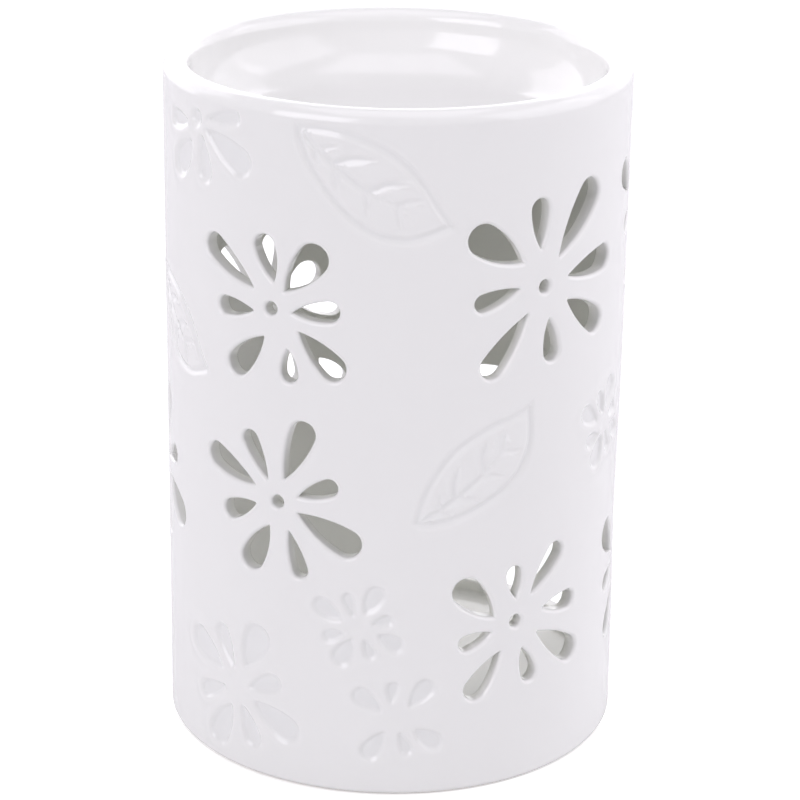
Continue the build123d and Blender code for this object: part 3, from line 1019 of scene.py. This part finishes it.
def make_dish(sizes):
    """The dish with its half of the rounded rim, its deep corner and its seat in the wall."""
    rim = Rim(sizes)
    seam = arc_at(rim.middle, rim.radius, [rim.seam_turn])
    corner = sizes.corner_radius
    corner_out = burner_radius - sizes.rim_width - corner
    corner_middle = (corner_out, rim.start)
    drop = sizes.dish_depth - rim.radius
    floor_radius = (corner_out**2 + drop**2 - corner**2) / (2 * (drop - corner))
    floor_up = burner_height - sizes.dish_depth + floor_radius
    floor_middle = (0, floor_up)
    slope = math.atan2(rim.start - floor_up, corner_out)
    under_corner = corner + sizes.thickness
    leave_turn = -math.acos((chamber_radius - corner_out) / under_corner)
    points = np.vstack(
        [
            seam,
            arc(rim.middle, rim.radius, rim.seam_turn + SEAM_STEP, 2 * quarter, 16)[:-1],
            arc(corner_middle, corner, 0, slope, 14)[:-1],
            arc(floor_middle, floor_radius, slope, -quarter, 16),
            arc(floor_middle, floor_radius + sizes.thickness, -quarter, slope, 10)[:-1],
            arc(corner_middle, under_corner, slope, leave_turn, 10),
            ((chamber_radius, rim.seat_height), (rim.seam_radius, rim.seat_height)),
            seam,
        ]
    )
    return spun("dish", points)


def make_floor(sizes):
    """The floor inside, with glaze gathered where it meets the wall."""
    fillet = sizes.floor_fillet
    lean = math.radians(4)
    sag = 0.1 * MM
    gather = arc((chamber_radius - fillet, floor_high.z + fillet), fillet, lean - quarter, 0, 8)
    middle = floor_high.z + fillet * (1 - math.cos(lean))
    points = np.vstack(
        [
            ((0, middle - sag), (chamber_radius / 2, middle - sag / 2)),
            gather,
            ((chamber_radius, floor_low.z), (0, floor_low.z)),
        ]
    )
    return spun("floor", points)


def tealight_axis():
    """The tealight's upright axis, foot, top and radius, from its cup."""
    low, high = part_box("tealight_cup")
    return ((low.x + high.x) / 2, (low.y + high.y) / 2), low.z, high.z, (high.x - low.x) / 2


def make_cup(sizes):
    """The drawn cup with its rolled bead, a ring pressed into its bottom and fine upright flutes."""
    axis, foot, top, radius = tealight_axis()
    metal = sizes.metal
    corner = sizes.corner
    ring = sizes.ring_height
    inner_radius = radius - metal
    bead_up = top - metal
    bead_foot = top - 3 * metal
    halfway = (foot + top) / 2
    ring_inside, ring_outside = radius / 2 - 4 * ring, radius / 2 - 2 * ring
    corner_middle = (radius - corner, foot + corner)
    points = np.vstack(
        [
            ((0, foot + ring), (ring_inside, foot + ring), (ring_outside, foot)),
            ((radius - 2 * corner, foot),),
            arc(corner_middle, corner, -quarter, 0, 8),
            ((radius, halfway), (radius, bead_foot)),
            arc((inner_radius, bead_up), metal, 0, 2 * quarter, 10),
            ((inner_radius, bead_foot), (inner_radius, halfway)),
            arc(corner_middle, corner - metal, 0, -quarter, 8),
            ((ring_outside, foot + metal), (ring_inside, foot + ring + metal)),
            ((0, foot + ring + metal),),
        ]
    )
    cup = spun("tealight_cup_drawn", points, axis, 4 * sizes.flutes, 50.0)
    low = foot + corner
    flutes_end_share = 0.85
    for vertex in cup.data.vertices:
        place = Vector((vertex.co.x - axis[0], vertex.co.y - axis[1]))
        if place.length < radius - corner:
            continue
        turn = math.atan2(place.y, place.x)
        height = (vertex.co.z - low) / (bead_up - low)
        fade = float(smooth_step(height * 3) * smooth_step((flutes_end_share - height) * 3))
        inward = sizes.flute_depth * fade * (0.5 + 0.5 * math.cos(sizes.flutes * turn))
        place *= 1 - inward / place.length
        vertex.co.x = axis[0] + place.x
        vertex.co.y = axis[1] + place.y
    return cup


def make_wax(sizes):
    """The wax with its slightly sunken top, which climbs the cup and the wick a little."""
    axis, foot, _, radius = tealight_axis()
    low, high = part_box("tealight_wax")
    wick_low, wick_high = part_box("tealight_wick")
    wick_radius = (wick_high.x - wick_low.x) / 2
    tab_low, tab_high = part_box("wick_tab")
    tab_radius = (tab_high.x - tab_low.x) / 2
    neck_radius = tab_radius / 3
    wax_radius = (high.x - low.x) / 2
    corner = sizes.corner
    climb = sizes.wax_climb
    top = high.z - climb
    skin = 0.02 * MM
    sag = 0.15 * MM
    sag_narrowing = 1.6
    base = low.z + skin
    tab_top = base + sizes.metal
    side = wax_radius - sizes.flute_depth
    turns = np.linspace(0, quarter, 7)
    edge = [(side - 2 * climb * (1 - math.cos(t)), top + climb * (1 - math.sin(t))) for t in turns]
    hill = [(wick_radius + 2 * climb * (1 - math.sin(t)), top + climb * (1 - math.cos(t))) for t in turns]
    reaches = np.linspace(side - 2 * climb, wick_radius + 2 * climb, 14)[1:-1]
    body = [(reach, top - sag * bell(reach / wax_radius * sag_narrowing)) for reach in reaches]
    points = np.vstack(
        [
            ((tab_radius, base),),
            arc((radius - corner, foot + corner), corner - sizes.metal - skin, -quarter, 0, 8),
            edge,
            body,
            hill,
            ((wick_radius, tab_high.z), (neck_radius, tab_high.z), (neck_radius, tab_top)),
            ((tab_radius, tab_top), (tab_radius, base)),
        ]
    )
    return spun("tealight_wax_cast", points, axis, 96, 40.0)


def make_wick(sizes):
    """The wick: strands twisted round each other, pressed together and cut off level."""
    low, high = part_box("tealight_wick")
    radius = (high.x - low.x) / 2
    axis = Vector(((low.x + high.x) / 2, (low.y + high.y) / 2, 0))
    strands = sizes.strands
    pressed_share = 1.06
    packing = math.sin(math.pi / strands)
    strand_radius = radius * packing / (1 + packing) * pressed_share
    twist_radius = radius - strand_radius
    height = high.z - low.z
    levels = 60
    sides = 14
    cut_end_share, cut_end_growth = 0.7, 6
    fibre_share, fibres, fibre_twist = 0.05, 5, 40
    mesh = bmesh.new()
    for strand in range(strands):
        rings = []
        for i in range(levels + 1):
            share = i / levels
            turn = 2 * math.pi * (strand / strands + share * height / sizes.twist_pitch)
            middle = axis + Vector((math.cos(turn), math.sin(turn), 0)) * twist_radius
            middle.z = low.z + share * height
            round_share = min(1.0, cut_end_share + cut_end_growth * min(share, 1 - share))
            ring = []
            for j in range(sides):
                around_strand = 2 * math.pi * j / sides + turn
                fibre = 1 + fibre_share * math.cos(fibres * around_strand + fibre_twist * share)
                offset = Vector((math.cos(around_strand), math.sin(around_strand), 0)) * strand_radius
                ring.append(mesh.verts.new(middle + offset * min(1.0, round_share * fibre)))
            rings.append(ring)
        for lower, upper in zip(rings, rings[1:]):
            for j in range(sides):
                k = (j + 1) % sides
                mesh.faces.new((lower[j], lower[k], upper[k], upper[j]))
        mesh.faces.new(rings[0][::-1])
        mesh.faces.new(rings[-1])
    data = bpy.data.meshes.new("tealight_wick_twisted")
    mesh.to_mesh(data)
    mesh.free()
    piece = bpy.data.objects.new("tealight_wick_twisted", data)
    bpy.context.scene.collection.objects.link(piece)
    only(piece)
    bpy.ops.object.shade_smooth_by_angle(angle=math.radians(50))
    return piece


class Number:
    """A socket that carries a number. Python's operators on it add Math nodes."""

    def __init__(self, recipe, socket):
        self.recipe = recipe
        self.socket = socket

    def maths(self, operation, *inputs):
        """A Math node's result."""
        values = {i: value for i, value in enumerate(inputs)}
        return Number(self.recipe, self.recipe.node("ShaderNodeMath", {"operation": operation}, values)[0])

    def __add__(self, other):
        return self.maths("ADD", self, other)

    __radd__ = __add__

    def __sub__(self, other):
        return self.maths("SUBTRACT", self, other)

    def __rsub__(self, other):
        return self.maths("SUBTRACT", other, self)

    def __mul__(self, other):
        return self.maths("MULTIPLY", self, other)

    __rmul__ = __mul__

    def between(self, low, high):
        """0 below low, 1 above high, and a smooth rise between them."""
        settings = {"interpolation_type": "SMOOTHSTEP"}
        values = {"Value": self, "From Min": low, "From Max": high}
        return Number(self.recipe, self.recipe.node("ShaderNodeMapRange", settings, values)["Result"])


class Recipe:
    """The nodes of one material or of the world."""

    def __init__(self, owner):
        self.owner = owner
        self.owner.use_nodes = True
        self.tree = self.owner.node_tree
        self.tree.nodes.clear()

    def node(self, kind, settings=None, values=None):
        """Adds a node, with its settings first and then its sockets' values or links. Gives its outputs."""
        added = self.tree.nodes.new(kind)
        for key, value in (settings or {}).items():
            setattr(added, key, value)
        for key, value in (values or {}).items():
            socket = added.inputs[key]
            if isinstance(value, Number):
                self.tree.links.new(value.socket, socket)
            elif isinstance(value, bpy.types.NodeSocket):
                self.tree.links.new(value, socket)
            else:
                socket.default_value = value
        return added.outputs

    def number(self, socket):
        """Wraps a socket so that operators work on it."""
        return Number(self, socket)

    def place(self):
        """The piece's own coordinates."""
        return self.node("ShaderNodeTexCoord")["Object"]

    def noise(self, size, detail=2.0, stretch=(1.0, 1.0, 1.0), roughness=0.5):
        """Soft noise from 0 to 1, its lumps about as large as a size in metres."""
        mapped = self.node("ShaderNodeMapping", None, {"Vector": self.place(), "Scale": stretch})["Vector"]
        values = {"Vector": mapped, "Scale": 1 / size, "Detail": detail, "Roughness": roughness}
        return self.number(self.node("ShaderNodeTexNoise", None, values)["Fac"])

    def mix(self, share, first, second):
        """A colour between two colours."""
        values = {"Factor": share, 6: first, 7: second}
        return self.node("ShaderNodeMix", {"data_type": "RGBA"}, values)[2]

    def shades(self, share, value, darker_share):
        """A colour between a given one and a darker one."""
        return self.mix(share, rgba(value), rgba([channel * darker_share for channel in value]))

    def attribute(self, name):
        """A number painted on the mesh."""
        return self.number(self.node("ShaderNodeAttribute", {"attribute_name": name})["Fac"])

    def bump(self, height, distance, strength=1.0, below=None):
        """A bumped normal."""
        values = {"Height": height, "Distance": distance, "Strength": strength}
        if below is not None:
            values["Normal"] = below
        return self.node("ShaderNodeBump", None, values)["Normal"]

    def finish(self, **values):
        """Ends in a Principled shader and gives the material."""
        sockets = {key.replace("_", " "): value for key, value in values.items()}
        shader = self.node("ShaderNodeBsdfPrincipled", None, sockets)["BSDF"]
        self.node("ShaderNodeOutputMaterial", None, {"Surface": shader})
        return self.owner


def rgba(value):
    """A colour with its fourth channel."""
    return (*value, 1.0)


def glaze_material(colours, name, chamber_above=None):
    """Glossy white glaze: warmer and brighter in the chamber for thinner glaze and painted bounce light,
    darker in the ornament for gathered glaze and painted shade, and bare clay under the foot.
    """
    recipe = Recipe(bpy.data.materials.new(name))
    blend = 0.5 * MM
    bare_low, bare_high = 0.15 * MM, 0.6 * MM
    height = recipe.number(recipe.node("ShaderNodeSeparateXYZ", None, {"Vector": recipe.place()})["Z"])
    clouds = recipe.noise(14 * MM, 3.0)
    tint = recipe.shades(clouds * 0.35, colours.glaze, 0.975)
    if chamber_above is None:
        inside = recipe.attribute("inside")
        recess = recipe.attribute("recess")
        # Partly painted shade: the recesses darken towards the gathered glaze's colour, which also stands
        # in for the shade in the hollows.
        tint = recipe.mix(recess * 0.8, tint, rgba(colours.pooled_glaze_and_shade))
    else:
        inside = 1.0 - height.between(chamber_above - blend, chamber_above + blend)
    # Painted light: the chamber turns a warmer, brighter white that stands in for the bounce light there,
    # on its thinner glaze.
    tint = recipe.mix(inside, tint, rgba(colours.chamber_glaze_and_bounce_light))
    bare = 1.0 - height.between(bare_low, bare_high)
    grit = recipe.noise(0.5 * MM, 4.0, roughness=0.7)
    tint = recipe.mix(bare, tint, recipe.shades(grit, colours.bare_clay, 0.86))
    gloss = 0.07 + 0.05 * recipe.noise(6 * MM, 2.0)
    roughness = gloss * (1.0 - bare) + 0.75 * bare
    ripple = recipe.noise(5 * MM, 1.0)
    peel = recipe.noise(1.6 * MM, 1.0)
    relief = ripple * 0.8 + peel * 0.2
    normal = recipe.bump(relief, 0.05 * MM, 0.35)
    normal = recipe.bump(grit * bare, 0.1 * MM, 0.6, normal)
    return recipe.finish(Base_Color=tint, Roughness=roughness, Normal=normal, IOR=1.5)


def aluminium_material(colours):
    """Thin drawn aluminium with fine upright draw lines."""
    recipe = Recipe(bpy.data.materials.new("drawn_aluminium"))
    lines = recipe.noise(0.35 * MM, 3.0, (1.0, 1.0, 0.06), 0.6)
    haze = recipe.noise(5 * MM, 2.0)
    tint = recipe.shades(haze * 0.6, colours.cup, 0.88)
    roughness = 0.22 + 0.16 * lines + 0.06 * haze
    normal = recipe.bump(lines, 0.02 * MM, 0.5)
    return recipe.finish(Base_Color=tint, Metallic=1.0, Roughness=roughness, Normal=normal)


def wax_material(colours):
    """White candle wax, faintly see-through, with a fine pressed grain."""
    recipe = Recipe(bpy.data.materials.new("candle_wax"))
    grain = recipe.noise(0.8 * MM, 3.0)
    clouds = recipe.noise(6 * MM, 2.0)
    tint = recipe.shades(clouds * 0.7, colours.wax, 0.95)
    roughness = 0.38 + 0.2 * grain
    normal = recipe.bump(grain * 0.4 + clouds * 0.6, 0.08 * MM, 0.5)
    return recipe.finish(
        Base_Color=tint,
        Roughness=roughness,
        Normal=normal,
        Subsurface_Weight=0.25,
        Subsurface_Radius=(1.2 * MM, 1.0 * MM, 0.7 * MM),
        Subsurface_Scale=1.0,
        IOR=1.43,
    )


def cotton_material(colours):
    """Waxed cotton strands with fine fibres along them."""
    recipe = Recipe(bpy.data.materials.new("waxed_cotton"))
    fibres = recipe.noise(0.12 * MM, 3.0, (1.0, 1.0, 0.25), 0.7)
    tint = recipe.shades(fibres, colours.wick, 0.8)
    roughness = 0.6 + 0.3 * fibres
    normal = recipe.bump(fibres, 0.06 * MM, 0.8)
    return recipe.finish(Base_Color=tint, Roughness=roughness, Normal=normal, Sheen_Weight=0.2)


def steel_material(colours):
    """Tinned steel with fine rolling lines."""
    recipe = Recipe(bpy.data.materials.new("tinned_steel"))
    lines = recipe.noise(0.3 * MM, 3.0, (0.05, 1.0, 1.0), 0.6)
    tint = recipe.shades(lines * 0.5, colours.tab, 0.85)
    roughness = 0.28 + 0.15 * lines
    normal = recipe.bump(lines, 0.01 * MM, 0.4)
    return recipe.finish(Base_Color=tint, Metallic=1.0, Roughness=roughness, Normal=normal)


def dress(piece, material, body, slot, *nodes):
    """Gives a piece its material and its body, and hides the imported nodes that it stands for. The slot is
    not used.
    """
    piece.data.materials.clear()
    piece.data.materials.append(material)
    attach(piece, body)
    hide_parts(*nodes)


class BURNER_OT_wall(bpy.types.Operator):
    """Makes the pierced wall, with its flowers, leaves, door, foot and outer rim."""

    bl_idname = "burner.wall"
    bl_label = "Pierced wall"

    def execute(self, context):
        scene = context.scene
        wall = make_wall(scene.burner_wall, scene.burner_dish)
        material = glaze_material(scene.burner_colours, "white_glaze_wall")
        dress(wall, material, "burner", "white_glaze", "pierced_sleeve")
        return {"FINISHED"}


class BURNER_OT_dish(bpy.types.Operator):
    """Makes the dish with the inner half of the rim."""

    bl_idname = "burner.dish"
    bl_label = "Oil dish"

    def execute(self, context):
        scene = context.scene
        dish = make_dish(scene.burner_dish)
        # Below the seat the dish faces the chamber and takes its painted bounce light.
        seat = burner_height - scene.burner_dish.dish_depth - scene.burner_dish.thickness / 2
        material = glaze_material(scene.burner_colours, "white_glaze_dish", seat)
        dress(dish, material, "burner", "white_glaze", "oil_dish")
        return {"FINISHED"}


class BURNER_OT_floor(bpy.types.Operator):
    """Makes the floor inside the wall."""

    bl_idname = "burner.floor"
    bl_label = "Floor"

    def execute(self, context):
        scene = context.scene
        floor = make_floor(scene.burner_dish)
        # The whole floor lies in the chamber and takes its painted bounce light.
        material = glaze_material(scene.burner_colours, "white_glaze_floor", burner_height)
        dress(floor, material, "burner", "white_glaze", "floor_disc")
        return {"FINISHED"}


class BURNER_OT_tealight(bpy.types.Operator):
    """Makes the tealight's cup, wax and wick, and finishes its tab."""

    bl_idname = "burner.tealight"
    bl_label = "Tealight"

    def execute(self, context):
        scene = context.scene
        sizes = scene.burner_tealight
        colours = scene.burner_colours
        dress(make_cup(sizes), aluminium_material(colours), "tealight", "cup_metal", "tealight_cup")
        dress(make_wax(sizes), wax_material(colours), "tealight", "wax", "tealight_wax")
        dress(make_wick(sizes), cotton_material(colours), "tealight", "wick_cotton", "tealight_wick")
        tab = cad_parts["wick_tab"]
        tab.data.materials.clear()
        tab.data.materials.append(steel_material(colours))
        return {"FINISHED"}


def background_material():
    """A white floor that glows a little for the camera, so that only the burner's shadow is seen on it."""
    recipe = Recipe(bpy.data.materials.new("studio_floor"))
    diffuse = recipe.node("ShaderNodeBsdfDiffuse", None, {"Color": rgba(STUDIO_WHITE)})["BSDF"]
    seen = recipe.number(recipe.node("ShaderNodeLightPath")["Is Camera Ray"])
    glow = recipe.node("ShaderNodeEmission", None, {"Strength": seen * STUDIO_GLOW})["Emission"]
    shader = recipe.node("ShaderNodeAddShader", None, {0: diffuse, 1: glow})["Shader"]
    recipe.node("ShaderNodeOutputMaterial", None, {"Surface": shader})
    return recipe.owner


def white_world():
    """A world that lights softly, and is white to the camera and in reflections."""
    recipe = Recipe(bpy.data.worlds.new("white_studio"))
    path = recipe.node("ShaderNodeLightPath")
    seen = recipe.number(path["Is Camera Ray"])
    for ray in ("Is Glossy Ray", "Is Transmission Ray"):
        seen = seen.maths("MAXIMUM", seen, path[ray])
    soft, white = (
        recipe.node("ShaderNodeBackground", None, {"Strength": strength, "Color": rgba(tint)})["Background"]
        for strength, tint in ((WORLD_STRENGTH, WORLD_TINT), (1.0, (1, 1, 1)))
    )
    blend = recipe.node("ShaderNodeMixShader", None, {0: seen, 1: soft, 2: white})["Shader"]
    recipe.node("ShaderNodeOutputWorld", None, {"Surface": blend})
    return recipe.owner


def panel_light(name, place, target, size, power):
    """A large soft panel of light that faces a target."""
    light = bpy.data.lights.new(name, "AREA")
    light.shape = "RECTANGLE"
    light.size, light.size_y = size
    light.energy = power
    light.color = PANEL_TINT
    lamp = bpy.data.objects.new(name, light)
    lamp.visible_camera = False
    bpy.context.scene.collection.objects.link(lamp)
    way = Vector(target) - place
    lamp.matrix_world = Matrix.Translation(place) @ way.to_track_quat("-Z", "Y").to_matrix().to_4x4()


class BURNER_OT_studio(bpy.types.Operator):
    """Makes the floor, the lights and the camera."""

    bl_idname = "burner.studio"
    bl_label = "Studio"

    def execute(self, context):
        scene = context.scene
        bpy.ops.object.select_all(action="DESELECT")
        bpy.ops.mesh.primitive_plane_add(size=STUDIO_SIZE, location=(0, 0, 0))
        ground = context.active_object
        ground.name = "studio_floor"
        ground.data.materials.append(background_material())
        middle = (0, 0, burner_height / 2)
        for name, (place, size, power) in PANELS.items():
            place = Vector(place) * burner_height
            panel_light(name, place, middle, Vector(size) * burner_height, power)
        scene.world = white_world()
        scene.view_settings.view_transform = "Standard"
        camera = bpy.data.cameras.new("camera")
        camera.lens = CAMERA_LENS
        camera.sensor_width = CAMERA_SENSOR
        camera.sensor_fit = "HORIZONTAL"
        eye = bpy.data.objects.new("camera", camera)
        scene.collection.objects.link(eye)
        yaw, down, roll = (math.radians(turn) for turn in CAMERA_TURNS)
        ahead = Vector((math.sin(yaw) * math.cos(down), math.cos(yaw) * math.cos(down), -math.sin(down)))
        right = Vector((math.cos(yaw), -math.sin(yaw), 0))
        above = right.cross(ahead)
        across = right * math.cos(roll) + above * math.sin(roll)
        top = above * math.cos(roll) - right * math.sin(roll)
        turned = Matrix((across, top, -ahead)).transposed().to_4x4()
        eye.matrix_world = Matrix.Translation(Vector(CAMERA_PLACE) * MM) @ turned
        scene.camera = eye
        return {"FINISHED"}


class BURNER_PT_panel(bpy.types.Panel):
    """Lists the burner's sizes, colours and pieces."""

    bl_label = "Oil burner"
    bl_idname = "BURNER_PT_panel"
    bl_space_type = "VIEW_3D"
    bl_region_type = "UI"
    bl_category = "Burner"

    def draw(self, context):
        for operator in OPERATORS:
            self.layout.operator(operator.bl_idname)
        for group in GROUPS:
            box = self.layout.box()
            values = getattr(context.scene, group)
            for key in values.bl_rna.properties.keys():
                if key not in ("rna_type", "name"):
                    box.prop(values, key)


GROUPS = {
    "burner_wall": BurnerWallSizes,
    "burner_dish": BurnerDishSizes,
    "burner_tealight": TealightSizes,
    "burner_colours": BurnerColours,
}
OPERATORS = (BURNER_OT_wall, BURNER_OT_dish, BURNER_OT_floor, BURNER_OT_tealight, BURNER_OT_studio)


def register():
    """Registers the classes and the scene's groups of sizes."""
    for group, kind in GROUPS.items():
        bpy.utils.register_class(kind)
        setattr(bpy.types.Scene, group, PointerProperty(type=kind))
    for kind in (*OPERATORS, BURNER_PT_panel):
        bpy.utils.register_class(kind)


def unregister():
    """Undoes register."""
    for kind in (BURNER_PT_panel, *reversed(OPERATORS)):
        bpy.utils.unregister_class(kind)
    for group, kind in GROUPS.items():
        delattr(bpy.types.Scene, group)
        bpy.utils.unregister_class(kind)


def main():
    """Makes every piece."""
    register()
    bpy.ops.burner.wall()
    bpy.ops.burner.dish()
    bpy.ops.burner.floor()
    bpy.ops.burner.tealight()
    bpy.ops.burner.studio()


if __name__ == "__main__":
    main()
